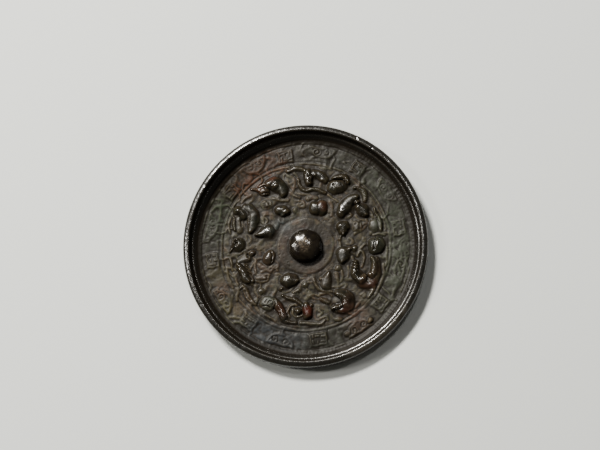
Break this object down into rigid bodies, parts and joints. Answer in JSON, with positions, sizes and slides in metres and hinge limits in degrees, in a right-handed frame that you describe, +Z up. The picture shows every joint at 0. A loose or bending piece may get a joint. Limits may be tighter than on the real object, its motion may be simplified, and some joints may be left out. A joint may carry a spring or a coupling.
{
  "type": "ancient bronze mirror",
  "caption": "Round cast bronze mirror: plain domed face, and a back with a pierced knob, beasts, beads, square seals, half-rounds and a stepped rim.",
  "frame": {"origin": "middle of the flat spot that the mirror lies on, at the bottom of the reflecting face", "axes": "+Z is up through the knob, square to the disc; +Y is the top of the picture; +X is its right"},
  "size_m": [0.135, 0.135, 0.0104],
  "materials": {
    "bronze": "dark brown-black patina, worn and glossy on the relief tops"
  },
  "bodies": {
    "root": {"mirror": "bronze", "knob": "bronze"}
  },
  "joints": []
}
